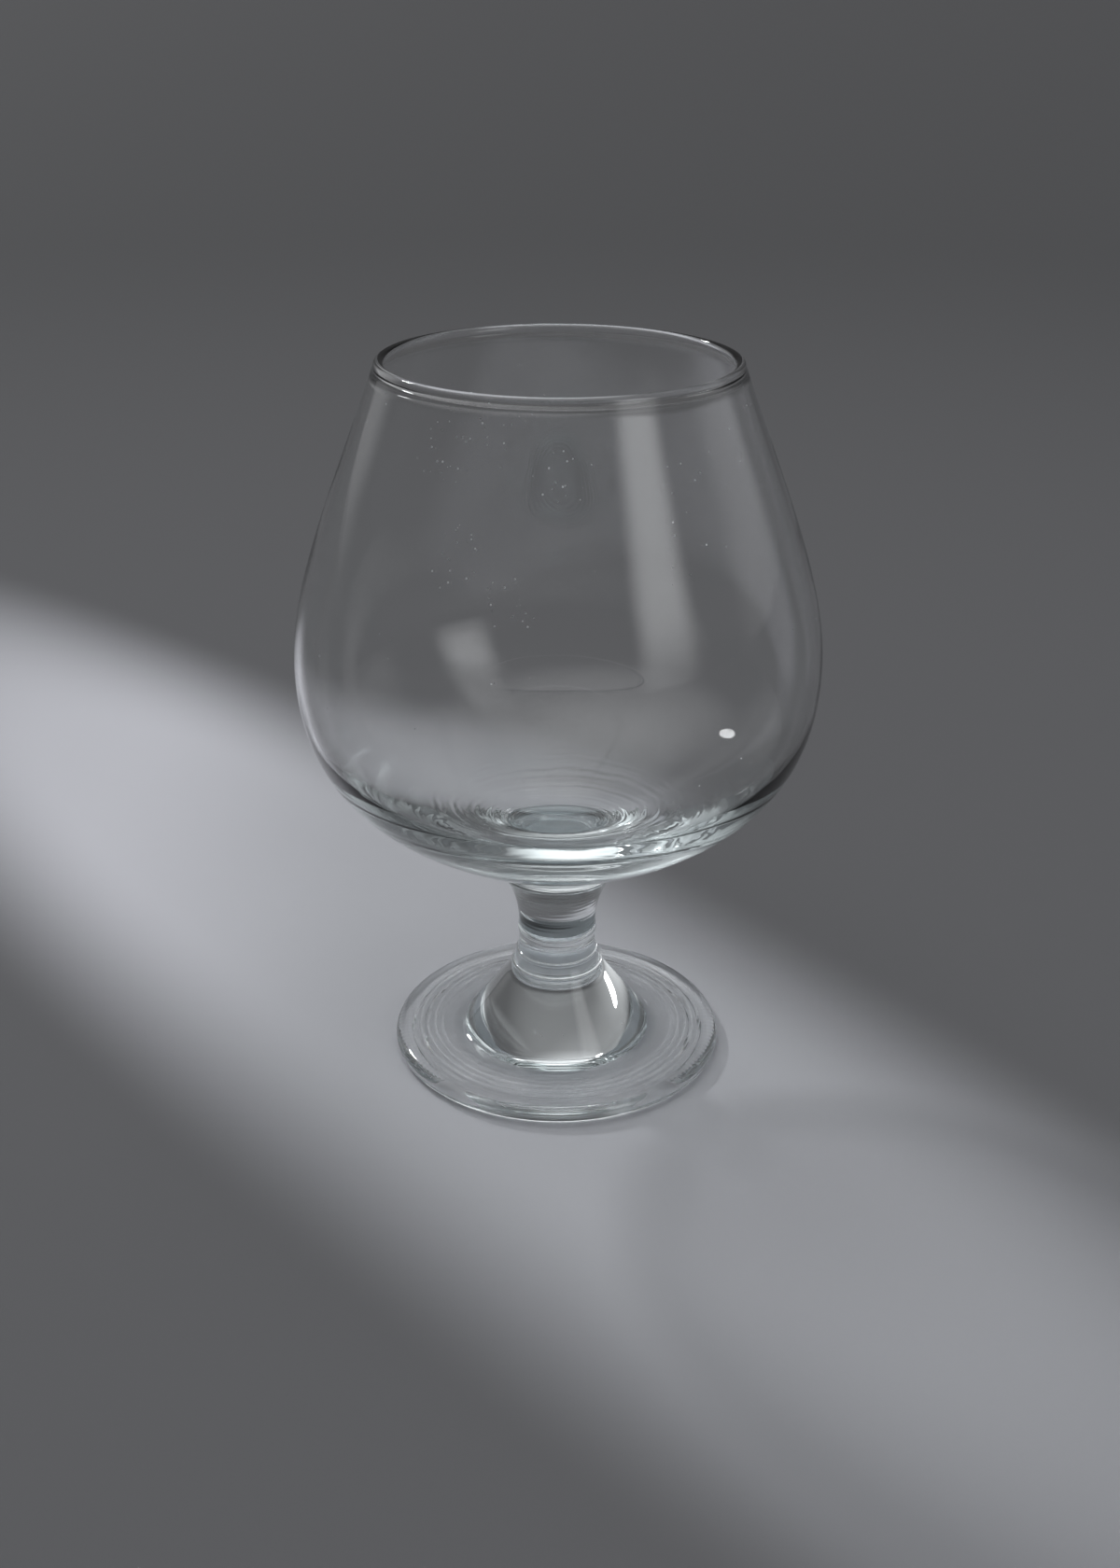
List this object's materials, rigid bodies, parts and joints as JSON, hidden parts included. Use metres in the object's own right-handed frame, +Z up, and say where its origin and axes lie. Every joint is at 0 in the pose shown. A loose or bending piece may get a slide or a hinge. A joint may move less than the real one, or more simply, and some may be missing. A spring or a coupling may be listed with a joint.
{
  "type": "brandy snifter",
  "caption": "Clear stemmed glass with a balloon bowl that narrows to the mouth, a short waisted stem and a broad round foot with a conical hub.",
  "frame": {"origin": "centre of the foot, in the plane of the ring that it stands on", "axes": "+Z up along the axis of the glass, +X to the right and +Y away from the viewer"},
  "size_m": [0.095, 0.095, 0.1342],
  "materials": {
    "bowl_glass": "blown and fire-polished clear soda-lime glass",
    "stem_glass": "hot-drawn clear soda-lime glass",
    "foot_glass": "pressed and fire-polished clear soda-lime glass"
  },
  "bodies": {
    "root": {"bowl": "bowl_glass", "stem": "stem_glass", "foot": "foot_glass"}
  },
  "joints": []
}
